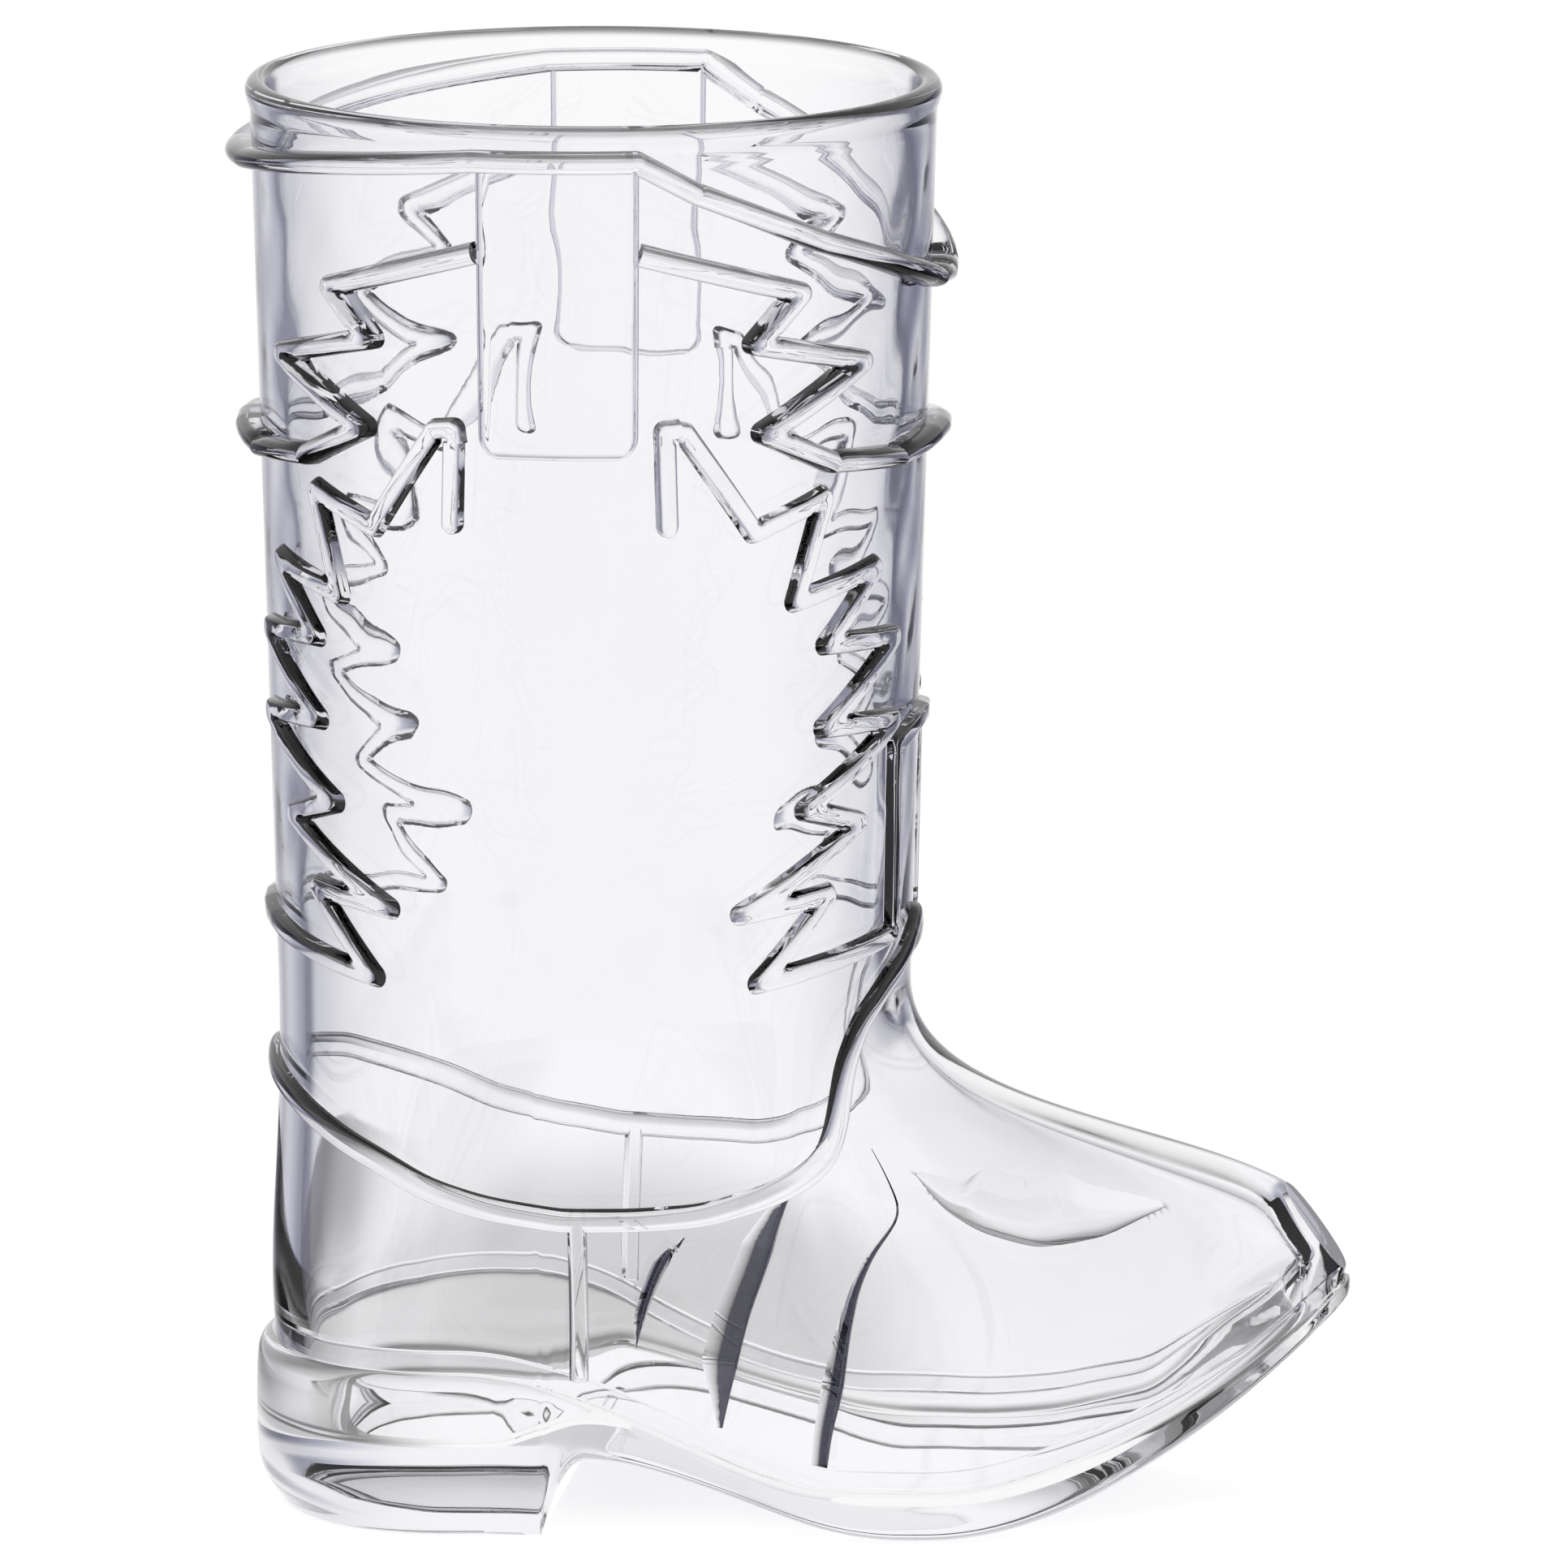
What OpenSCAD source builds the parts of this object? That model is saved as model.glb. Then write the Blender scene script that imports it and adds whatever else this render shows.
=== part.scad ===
// Drinking glass shaped like a tall western boot, moulded in clear plastic.
// Two mouldings: the boot upper, open at the top and at the foot, and the hollow
// sole and heel tray that closes it. They meet on a ledge round the welt and are welded there.
// Millimetres, +Z up, toe towards +X. The glass stands on z = 0 on its heel and its ball.

/* [Overall] */
// height from the table to the top of the rim
glass_height = 152; // [144:1:160]
// outside diameter of the shaft at the rim
rim_d = 72.8; // [71:0.2:75]
// outside diameter of the shaft at the ankle
ankle_d = 67.4; // [65:0.2:69]
// wall of the shaft and of the boot upper
wall = 2.6; // [2.3:0.1:3]
// roll of the rim beyond the shaft wall
rim_roll = 0.5; // [0.3:0.1:0.8]

/* [Foot] */
// from the shaft axis forward to the toe, at the welt
toe_reach = 80; // [76:0.5:84]
// from the shaft axis back to the heel, at the welt
heel_reach = 34; // [32.5:0.5:35.5]
// half width of the welt at the ball of the foot
ball_half = 27; // [25:0.5:29]
// half width of the welt at the waist
waist_half = 24; // [22.5:0.5:25.5]
// half width of the welt at the heel
heel_half = 28; // [26.5:0.5:29]
// plastic in front of the toe end of the hollow
toe_wall = 5; // [4:0.5:6]
// height that the top line of the vamp aims for above the toe
toe_box = 42; // [40:0.5:44]
// height of the fullest part of the sides of the foot
side_box = 30; // [28:0.5:32]
// fullness of the sides of the foot beyond the welt
side_swell = 1; // [0:0.2:1.6]
// how far the nose of the toe swells in front of the welt
toe_swell = 3; // [2:0.2:4]
// height of the bend between vamp and shaft
instep_low = 37; // [35.5:0.5:38.5]
// height where the foot has become the round shaft
instep_high = 56; // [54:0.5:58]

/* [Sole] */
// height of the welt at the heel
heel_top = 17.5; // [16.5:0.5:18.5]
// height of the welt at the ball
ball_top = 5.4; // [5:0.1:6]
// thickness of the sole at the tip of the toe
tip_band = 2.6; // [2.2:0.1:3]
// lift of the tip of the toe above the table
toe_lift = 22; // [20:0.5:24]
// height of the arch under the waist
arch = 8; // [7:0.2:9]
// from the shaft axis back to the foot of the heel breast
breast = 3; // [2:0.2:4]
// draw-in of the sole edge at the underside
edge_in = 1.8; // [1.2:0.1:2.2]
// draw-in of the heel at the table
heel_in = 0.6; // [0.4:0.1:1]
// floor of the hollow above the table, at the ball
floor_ball = 3.4; // [3:0.1:4]
// floor of the hollow above the table, in the heel
floor_heel = 9; // [8:0.2:10]

/* [Weld] */
// width of the ledge that carries the upper
ledge = 1.2; // [1:0.1:1.3]
// height of the locating lip of the sole
lip = 2; // [1.5:0.1:2.5]
// clearance round the locating lip
lip_gap = 0.3; // [0.25:0.05:0.4]

/* [Relief] */
// width of the raised stitch bands
band_w = 2.4; // [2:0.1:2.8]
// height of the lower zigzag
zigzag_h = 1.2; // [0.8:0.1:1.5]
// height of the upper scallop
wing_h = 2.6; // [2:0.1:3]
// height of the collar band under the rim
collar_h = 2.8; // [2.2:0.1:3.2]
// height of the band round the ankle
ankle_h = 1.2; // [0.8:0.1:1.5]
// width of the seam rib on each side of the foot
rib_w = 2; // [1.6:0.1:2.4]
// width of the pull straps
strap_w = 17; // [15:0.5:18]
// thickness of the pull straps
strap_h = 0.9; // [0.6:0.1:1.2]
// height of the lower end of the pull straps
strap_low = 116.6; // [115:0.2:119]

/* [Hidden] */
steps = 2;
sink = 0.8;
round_z = 60;
join_z = 66;
rocker_x = 38;
shaft_x = -(toe_reach + 1 - rim_d / 2 - collar_h) / 2;

// plain helpers
function ease(a, b, x) = let (t = min(1, max(0, (x - a) / (b - a)))) t * t * (3 - 2 * t);
function unit(v) = v / norm(v);
function between(p, q, r, s, t) =
    0.5 * (2 * q + (r - p) * t + (2 * p - 5 * q + 4 * r - s) * t * t + (3 * q - p - 3 * r + s) * t * t * t);
function bend(a, b, c, d, t) =
    a * pow(1 - t, 3) + 3 * b * t * pow(1 - t, 2) + 3 * c * t * t * (1 - t) + d * pow(t, 3);

// outside radius of the round shaft at height z
function shaft_r(z) = ankle_d / 2 + (rim_d - ankle_d) / 2 * (z - round_z) / (glass_height - round_z);

// half of the welt line seen from above, from the toe back to the heel
welt_knots = [
    [toe_reach, 0],
    [toe_reach * 0.98, ball_half * 0.16],
    [toe_reach * 0.89, ball_half * 0.31],
    [toe_reach * 0.78, ball_half * 0.51],
    [toe_reach * 0.655, ball_half * 0.78],
    [toe_reach * 0.52, ball_half * 0.97],
    [toe_reach * 0.37, ball_half],
    [toe_reach * 0.21, waist_half],
    [toe_reach * 0.085, waist_half],
    [4 - breast, waist_half * 0.4 + heel_half * 0.57],
    [1 - breast, heel_half * 0.945],
    [-2 - breast, heel_half * 0.965],
    [-heel_reach * 0.47, heel_half],
    [-heel_reach * 0.74, heel_half * 0.87],
    [-heel_reach * 0.925, heel_half * 0.53],
    [-heel_reach, 0]
];
last = len(welt_knots) - 1;
function knot(i) =
    i < 0 ? [welt_knots[1].x, -welt_knots[1].y] :
    i > last ? [welt_knots[last - 1].x, -welt_knots[last - 1].y] : welt_knots[i];
half_line = concat(
    [for (i = [0:last - 1]) for (k = [0:steps - 1])
        between(knot(i - 1), knot(i), knot(i + 1), knot(i + 2), k / steps)],
    [welt_knots[last]]);
half = len(half_line) - 1;
count = 2 * half;
function welt(j) = let (i = (j + count) % count)
    i <= half ? half_line[i] : [half_line[count - i].x, -half_line[count - i].y];
function outward(j) = let (t = unit(welt(j + 1) - welt(j - 1))) [t.y, -t.x];
function inset(j, d) = welt(j) - outward(j) * d;
// the hollow stops short of the toe
function hollow(j) = let (p = inset(j, wall), f = ease(0.6 * toe_reach, toe_reach, p.x))
    [p.x - (toe_wall - wall) * f, p.y];
function turn(j) = atan2(welt(j).y, welt(j).x);

// heights along the foot, x from the shaft axis
function rocker(x) = toe_lift * pow(max(0, x - rocker_x) / (toe_reach - rocker_x), 2);
function welt_z(x) = heel_top - (heel_top - ball_top) * ease(-12, 28, x)
    - (ball_top - tip_band) * ease(50, toe_reach, x) + rocker(x);
function breast_rise(x) = 1 - pow(1 - min(1, max(0, (x + breast) / 5)), 2.4);
function under_z(x) = arch * breast_rise(x) * (1 - ease(-2, 35, x)) + rocker(x);
function draw_in(x) = heel_in + (edge_in - heel_in) * ease(-breast - 4, 8 - breast, x);
function floor_z(x) = min(welt_z(x) + lip - 0.5,
    floor_ball + (floor_heel - floor_ball) * (1 - ease(-2, 32, x))
    + 2.4 * ease(-9, 1, x) * (1 - ease(1, 32, x)) + rocker(x));

// outside of the foot: one curve from the welt up to the round shaft for each step round the welt
function swell(a) = side_swell * ease(3, 25, abs(a)) + toe_swell * exp(-pow(a / 6, 2));
function swell_z(a) = side_box + (toe_box - side_box) * exp(-pow(a / 25, 2));
function on_shaft(a, r, z) = [r * cos(a), r * sin(a), z];
function foot(j, t) = let (w = welt(j), o = outward(j), a = turn(j), s = swell(a))
    t > 1 ? on_shaft(a, shaft_r(instep_high + (t - 1) * 40), instep_high + (t - 1) * 40) :
    bend([w.x, w.y, welt_z(w.x)], [w.x + o.x * s, w.y + o.y * s, swell_z(a)],
        on_shaft(a, shaft_r(instep_low), instep_low), on_shaft(a, shaft_r(instep_high), instep_high), t);
function seek(j, z, lo, hi, n) = let (m = (lo + hi) / 2)
    n == 0 ? m : foot(j, m).z < z ? seek(j, z, m, hi, n - 1) : seek(j, z, lo, m, n - 1);
function place(j, z) = seek(j, z, 0, 1.3, 16);
function facing(j, t) = unit(cross(foot(j + 1, t) - foot(j - 1, t), foot(j, t + 0.02) - foot(j, t - 0.02)));

// middle line of the band round the ankle: angle from the toe and height
ankle_line = [[0, 62.8], [11, 59.4], [20, 57], [28, 54], [34, 49.5], [37, 44.5], [40, 40.8], [45, 38.4],
    [51, 36.6], [62, 35], [76, 34.7], [91, 34.8], [106, 36], [116, 37.6], [126, 40.2], [140, 42.8],
    [155, 45.2], [180, 47.5]];
function ankle_z(a) = lookup(abs(a), ankle_line);
function ankle_lean(a) = let (s = (ankle_z(abs(a) + 2) - ankle_z(abs(a) - 2)) / 2.4)
    sqrt(1 + min(6, s * s));

// inside of the foot
function cave(j, t) = let (h = hollow(j), a = turn(j), s = swell(a), o = outward(j))
    bend([h.x, h.y, welt_z(h.x) + lip + lip_gap], [h.x + o.x * s, h.y + o.y * s, swell_z(a) - wall * 0.6],
        on_shaft(a, shaft_r(instep_low) - wall, instep_low - wall * 0.5),
        on_shaft(a, shaft_r(instep_high) - wall - 0.2, instep_high - wall * 0.4), t);

// rings of points round the foot, and the skin between neighbouring rings
low_rows = 9;
high_rows = 4;
cave_rows = 8;
function ankle_row(e) = [for (j = [0:count - 1])
    let (a = turn(j), m = ankle_z(a), d = band_w / 2 * ankle_lean(a),
        t = place(j, m + d * e), f = abs(e) < 1 ? ankle_h : 0)
    foot(j, t) + facing(j, t) * f];
function low_row(k) = [for (j = [0:count - 1])
    foot(j, place(j, ankle_z(turn(j)) - band_w / 2 * ankle_lean(turn(j))) * k / low_rows)];
function high_row(k) = [for (j = [0:count - 1])
    let (a = turn(j), t = place(j, ankle_z(a) + band_w / 2 * ankle_lean(a)),
        e = 1 + (join_z - instep_high) / 40, p = foot(j, t + (e - t) * k / high_rows))
    p - (k == high_rows ? 0.06 : 0) * unit([p.x, p.y, 0])];
function shaft_row(r, z) = [for (j = [0:count - 1]) on_shaft(turn(j), r, z)];
function cave_row(t) = [for (j = [0:count - 1]) cave(j, t)];
function welt_row(d, up) = [for (j = [0:count - 1]) let (p = inset(j, d)) [p.x, p.y, welt_z(p.x) + up]];
foot_rings = concat(
    [for (k = [0:low_rows - 1]) low_row(k)],
    [ankle_row(-1), ankle_row(-0.6), ankle_row(0.6), ankle_row(1)],
    [for (k = [1:high_rows]) high_row(k)],
    [shaft_row(shaft_r(join_z) - 0.8, join_z + 1.5), shaft_row(shaft_r(join_z) - wall + 0.8, join_z + 1.5)],
    [shaft_row(shaft_r(join_z) - wall + 0.2, join_z - 0.5)],
    [for (k = [cave_rows:-1:0]) cave_row(k / cave_rows)],
    [[for (j = [0:count - 1]) let (p = inset(j, ledge)) [p.x, p.y, welt_z(p.x) + lip + lip_gap]]],
    [welt_row(ledge, 0)]);
function skin(rings, flip, closed) = let (m = len(rings), n = len(rings[0]))
    [for (k = [0:m - (closed ? 1 : 2)]) for (j = [0:n - 1])
        let (up = (k + 1) % m, i = (j + 1) % n, a = k * n + j, b = up * n + j, c = up * n + i, d = k * n + i)
        for (f = flip ? [[a, c, b], [a, d, c]] : [[a, b, c], [a, c, d]]) f];
function points(rings) = [for (r = rings) for (p = r) p];

// seam rib down each side of the foot, from the ankle band towards the welt
rib_step = 9 * steps;
rib_rows = 5;
function rib_row(j, k) = let (t = 0.06 + (place(j, ankle_z(turn(j))) - 0.06) * k / rib_rows,
    p = foot(j, t), n = facing(j, t), s = unit(cross(n, [0, 0, 1])) * rib_w / 2)
    [p - s + n * ankle_h, p + s + n * ankle_h, p + s - n * sink, p - s - n * sink];
function rib_rings(j) = [for (k = [0:rib_rows]) rib_row(j, k)];
rib_ends = [[0, 1, 2, 3], [for (k = [3:-1:0]) rib_rows * 4 + k]];

// rings of the sole tray, from its floor over the lip and the ledge down to the underside
function tray_row(d, z) = [for (j = [0:count - 1])
    let (h = hollow(j), o = outward(j), p = h - o * d) [p.x, p.y, floor_z(p.x) + z]];
function edge_row(part) = [for (j = [0:count - 1])
    let (w = welt(j), o = outward(j), u = under_z(w.x), band = welt_z(w.x) - u,
        grow = part < 0.75 ? 0.7 + 0.06 * band : 0.2, p = w + o * grow)
    [p.x, p.y, u + band * (1 - part)]];
sole_rings = concat(
    [tray_row(1.5, 0)],
    [[for (j = [0:count - 1])
        let (h = hollow(j)) [h.x, h.y, min(floor_z(h.x) + 1, welt_z(h.x) + lip - 0.1)]]],
    [[for (j = [0:count - 1]) let (h = hollow(j)) [h.x, h.y, welt_z(h.x) + lip]]],
    [welt_row(ledge + lip_gap, lip), welt_row(ledge + lip_gap, 0), welt_row(ledge, 0), welt_row(0, 0)],
    [edge_row(0.3), edge_row(0.6), edge_row(0.88)],
    [[for (j = [0:count - 1]) let (p = inset(j, draw_in(welt(j).x))) [p.x, p.y, under_z(p.x)]]]);
function strip(ring, up) = [for (i = [0:half - 1])
    let (s = ring * count, a = s + i, b = s + i + 1, c = s + count - i - 1, d = s + (count - i) % count,
        q = i == 0 ? [a, b, c] : i == half - 1 ? [a, b, d] : [a, b, c, d])
    up ? [for (n = [len(q) - 1:-1:0]) q[n]] : q];

// raised bands: points are [angle from the toe or the heel, height],
// drawn on a plane square to the 45 degree line
function flat_x(a) = shaft_r(105) * sin(45 - a);
function drawn(list) = [for (p = list) [flat_x(p.x), p.y]];
function side_of(v) = [-v.y, v.x];
function corner(p, i) = let (a = i > 0 ? unit(p[i] - p[i - 1]) : unit(p[1] - p[0]),
    b = i < len(p) - 1 ? unit(p[i + 1] - p[i]) : a, n = side_of(unit(a + b)))
    n * band_w / 2 / max(0.42, n * side_of(a));
function stroke(p) = concat(
    [for (i = [0:len(p) - 1]) p[i] + corner(p, i)],
    [for (i = [len(p) - 1:-1:0]) p[i] - corner(p, i)]);
zigzag = [[71, 109.5], [70, 120], [55.5, 108.5], [42.5, 110.5], [46, 101], [29, 102.2], [38, 95.8],
    [22, 94.4], [38, 86.8], [21, 85.5], [42, 78], [32, 75.5], [55, 67.8], [40, 68], [51.5, 60.5], [18, 62.8]];
zigzag_toe = [[18, 82.5], [8, 84.2], [-12, 84.6]];
zigzag_heel = [[8, 63.4], [-12, 63.6]];
wing = [[79, 139], [49.5, 133.3], [55, 128.7], [36, 125.2], [52.5, 118.9], [40.5, 115], [23, 114.2],
    [8, 115], [-12, 115.2]];
collar_toe = [[102, 148.3], [77, 148.3], [67, 144.8], [44, 138.8], [22, 134.4], [8, 132], [-12, 131.6]];
collar_heel = [[102, 148.3], [76, 148.2], [50, 146.6], [20, 144.6], [-12, 144]];
lift = glass_height - 152;

module outwards(a) {
    rotate([0, 0, a]) rotate([90, 0, 90]) translate([0, 0, 12]) linear_extrude(height = 40) children();
}

module four_ways(front, rear) {
    outwards(45) translate([0, lift]) polygon(stroke([for (p = drawn(front)) [-p.x, p.y]]));
    outwards(-45) translate([0, lift]) polygon(stroke(drawn(front)));
    outwards(135) translate([0, lift]) polygon(stroke(drawn(rear)));
    outwards(-135) translate([0, lift]) polygon(stroke([for (p = drawn(rear)) [-p.x, p.y]]));
}

module sleeve(h) {
    low = 57;
    high = glass_height - 1;
    difference() {
        translate([0, 0, low])
            cylinder(h = high - low, r1 = shaft_r(low) + h, r2 = shaft_r(high) + h, $fn = 96);
        translate([0, 0, low - 1])
            cylinder(h = high - low + 2, r1 = shaft_r(low - 1) - sink, r2 = shaft_r(high + 1) - sink,
                $fn = 96);
    }
}

module shaft() {
    top = glass_height;
    bead = wall / 2;
    rotate_extrude($fn = 96) {
        polygon([[shaft_r(join_z) - wall, join_z], [shaft_r(join_z), join_z],
            [shaft_r(top - bead * 2), top - bead * 2], [shaft_r(top - bead) + rim_roll, top - bead],
            [shaft_r(top) - bead, top], [shaft_r(top) - wall, top - bead]]);
        translate([shaft_r(top - bead) - bead + rim_roll, top - bead]) circle(r = bead, $fn = 32);
    }
}

module strap_shape() {
    r = 3;
    side = strap_w / 2;
    under_rim = 149;
    polygon([[-side, under_rim], [-side, strap_low + r], [-side + r * 0.3, strap_low + r * 0.3],
        [-side + r, strap_low], [side - r, strap_low], [side - r * 0.3, strap_low + r * 0.3],
        [side, strap_low + r], [side, under_rim]]);
}

module boot_upper() {
    color([0.86, 0.86, 0.92, 0.5]) translate([shaft_x, 0, 0]) union() {
        shaft();
        polyhedron(points = points(foot_rings), faces = skin(foot_rings, false, true), convexity = 8);
        for (j = [rib_step, count - rib_step])
            polyhedron(points = points(rib_rings(j)),
                faces = concat(skin(rib_rings(j), true, false), rib_ends), convexity = 2);
        intersection() {
            sleeve(zigzag_h);
            four_ways(concat(zigzag, zigzag_toe), concat(zigzag, zigzag_heel));
        }
        intersection() {
            sleeve(wing_h);
            four_ways(wing, wing);
        }
        intersection() {
            sleeve(collar_h);
            four_ways(collar_toe, collar_heel);
        }
        intersection() {
            sleeve(strap_h);
            union() {
                outwards(90) translate([0, lift]) strap_shape();
                outwards(-90) translate([0, lift]) strap_shape();
            }
        }
    }
}

module heel_sole() {
    color([0.84, 0.84, 0.9, 0.5]) translate([shaft_x, 0, 0])
        polyhedron(points = points(sole_rings),
            faces = concat(skin(sole_rings, true, false), strip(0, true), strip(len(sole_rings) - 1, false)),
            convexity = 8);
}

boot_upper();
heel_sole();
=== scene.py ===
import bpy
import math
import numpy as np
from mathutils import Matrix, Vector
from mathutils.bvhtree import BVHTree
from mathutils.kdtree import KDTree


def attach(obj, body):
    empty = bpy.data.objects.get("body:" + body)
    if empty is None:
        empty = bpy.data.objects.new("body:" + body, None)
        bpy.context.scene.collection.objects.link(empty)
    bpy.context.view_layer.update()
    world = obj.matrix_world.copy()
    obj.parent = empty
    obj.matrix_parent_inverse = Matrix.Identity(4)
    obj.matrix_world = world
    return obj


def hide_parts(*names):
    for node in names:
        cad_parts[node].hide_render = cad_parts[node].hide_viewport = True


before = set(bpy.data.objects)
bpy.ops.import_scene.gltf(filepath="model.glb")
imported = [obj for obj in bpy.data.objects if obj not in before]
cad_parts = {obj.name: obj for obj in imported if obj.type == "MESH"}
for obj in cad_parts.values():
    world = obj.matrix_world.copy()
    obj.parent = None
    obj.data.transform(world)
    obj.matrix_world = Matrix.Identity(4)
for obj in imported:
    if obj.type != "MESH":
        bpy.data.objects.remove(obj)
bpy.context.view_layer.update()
scene = bpy.context.scene

# sizes in millimetres, as in the part's source; x counts from the shaft axis, the foot's widths are halves
HEIGHT = 152.0
RIM_D = 72.8
ANKLE_D = 67.4
ROUND_Z = 60.0
WALL = 2.6
THICKER = 0.2
RIM_ROLL = 0.5
TOE = 80.0
TIP_OVER = 1
HEEL = 34.0
BALL_W = 27.0
WAIST_W = 24.0
HEEL_W = 28.0
TOE_WALL = 5.0
TOE_BOX = 42.0
SIDE_BOX = 30.0
SIDE_SWELL = 1.0
TOE_SWELL = 3.0
INSTEP_LOW = 37.0
INSTEP_HIGH = 56.0
HEEL_TOP = 17.5
BALL_TOP = 5.4
TIP_BAND = 2.6
TOE_LIFT = 22.0
ROCKER_X = 38.0
ARCH = 8.0
BREAST = 3.0
EDGE_IN = 1.8
HEEL_IN = 0.6
FLOOR_BALL = 3.4
FLOOR_HEEL = 9.0
FLOOR_HUMP = 2.4
FLOOR_STEP = 0.5
LEDGE = 1.2
LIP = 2.0
LIP_GAP = 0.3
WELD_GAP = 0.06
BAND_W = 2.4
ZIGZAG_H = 1.2
WING_H = 2.6
COLLAR_H = 2.8
ANKLE_H = 1.2
RIB_W = 2.0
STRAP_W = 17.0
STRAP_H = 0.9
STRAP_LOW = 116.6
STRAP_TALL = 32.6
STRAP_CORNER = 2.6
SHAFT_X = -(TOE + TIP_OVER - RIM_D / 2 - COLLAR_H) / 2

# stretches along x: the welt's fall to the ball, the arch's end, and the fall and hump of the hollow's floor
WELT_FALL = (-12, 28)
TIP_THIN = 50
BREAST_RUN = 5
BREAST_CURVE = 2.4
ARCH_END = (-2, 35)
FLOOR_FALL = (-2, 32)
HUMP_UP = (-9, 1)
HUMP_DOWN = (1, 32)

# stretches of angle round the shaft axis, in degrees from the toe, where the foot's sides swell
SWELL_FROM = (3, 25)
TIP_SPREAD = 6
BOX_SPREAD = 25

# the flat facet at the toe's tip: its distance from the shaft's foot, its normal and the plastic under it
TIP_FACE = 79.8
TIP_NORMAL = (.81, 0, .586)
TOE_SKIN = 3.1
# the hollow's toe end: where it starts, how far it grows and the normals of its two flat faces
TIP_FROM = (58, 73)
TIP_ROWS = (0, .12)
TIP_LONGER = 1.9
TIP_WIDER = .3
TIP_HIGHER = .5
TIP_ENDS = ((.8, -.12, .588), (.8, .12, .588))

# rows and points of the meshes
STEPS = 10
FOOT_ROWS = 60
SHAFT_ROWS = 26
INNER_ROWS = 44
CAVE_ROWS = 42
SHAFT_RUN = 40
SINK = .8


# shape functions shared by both mouldings
def ease(low, high, x):
    """Smooth step from 0 at low to 1 at high."""
    t = np.clip((np.asarray(x, float) - low) / (high - low), 0, 1)
    return t * t * (3 - 2 * t)


def unit(rows):
    """The same directions, each one long."""
    return rows / np.linalg.norm(rows, axis=1)[:, None]


def shaft_r(z):
    return ANKLE_D / 2 + (RIM_D - ANKLE_D) / 2 * (np.asarray(z, float) - ROUND_Z) / (HEIGHT - ROUND_Z)


def welt_loop():
    """The sole's outline from above: a smooth curve through places on one side, and its mirror image."""
    knots = np.array([
        [TOE, 0], [TOE * .98, BALL_W * .16], [TOE * .89, BALL_W * .31], [TOE * .78, BALL_W * .51],
        [TOE * .655, BALL_W * .78], [TOE * .52, BALL_W * .97], [TOE * .37, BALL_W], [TOE * .21, WAIST_W],
        [TOE * .085, WAIST_W], [4 - BREAST, WAIST_W * .4 + HEEL_W * .57], [1 - BREAST, HEEL_W * .945],
        [-2 - BREAST, HEEL_W * .965], [-HEEL * .47, HEEL_W], [-HEEL * .74, HEEL_W * .87],
        [-HEEL * .925, HEEL_W * .53], [-HEEL, 0]])
    mirror = np.array([1, -1])
    ends = np.vstack([knots[1] * mirror, knots, knots[-2] * mirror])
    line = []
    for i in range(len(knots) - 1):
        a, b, c, d = ends[i:i + 4]
        for t in np.arange(STEPS) / STEPS:
            line.append(.5 * (2 * b + (c - a) * t + (2 * a - 5 * b + 4 * c - d) * t ** 2
                              + (3 * b - a - 3 * c + d) * t ** 3))
    line = np.array(line + [knots[-1]])
    return np.vstack([line, (line * mirror)[-2:0:-1]])


# the outline with its outward directions, its angles round the shaft axis, and the outline of the hollow
WELT = welt_loop()
COUNT = len(WELT)
tangent = unit(np.roll(WELT, -1, 0) - np.roll(WELT, 1, 0))
OUTWARD = np.stack([tangent[:, 1], -tangent[:, 0]], 1)
ANGLE = np.degrees(np.arctan2(WELT[:, 1], WELT[:, 0]))
SWELL = SIDE_SWELL * ease(*SWELL_FROM, np.abs(ANGLE)) + TOE_SWELL * np.exp(-(ANGLE / TIP_SPREAD) ** 2)
SWELL_Z = SIDE_BOX + (TOE_BOX - SIDE_BOX) * np.exp(-(ANGLE / BOX_SPREAD) ** 2)
HOLLOW = WELT - OUTWARD * WALL
HOLLOW[:, 0] -= (TOE_WALL - WALL) * ease(.6 * TOE, TOE, HOLLOW[:, 0])


def rocker(x):
    """How far the raised toe lifts the sole."""
    return TOE_LIFT * (np.maximum(0, x - ROCKER_X) / (TOE - ROCKER_X)) ** 2


def welt_z(x):
    return (HEEL_TOP - (HEEL_TOP - BALL_TOP) * ease(*WELT_FALL, x)
            - (BALL_TOP - TIP_BAND) * ease(TIP_THIN, TOE, x) + rocker(x))


def under_z(x):
    rise = 1 - (1 - np.clip((x + BREAST) / BREAST_RUN, 0, 1)) ** BREAST_CURVE
    return ARCH * rise * (1 - ease(*ARCH_END, x)) + rocker(x)


def floor_z(x):
    fall = FLOOR_BALL + (FLOOR_HEEL - FLOOR_BALL) * (1 - ease(*FLOOR_FALL, x))
    hump = FLOOR_HUMP * ease(*HUMP_UP, x) * (1 - ease(*HUMP_DOWN, x))
    return np.minimum(welt_z(x) + LIP - FLOOR_STEP, fall + hump + rocker(x))


def on_shaft(angle, r, z):
    a = np.radians(angle)
    return np.stack([r * np.cos(a), r * np.sin(a), z + 0 * a], -1)


def bend(a, b, c, d, t):
    """Points on curves from a to d that leave towards b and arrive from c."""
    t = np.asarray(t, float)[..., None]
    return a * (1 - t) ** 3 + 3 * b * t * (1 - t) ** 2 + 3 * c * t * t * (1 - t) + d * t ** 3


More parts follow.
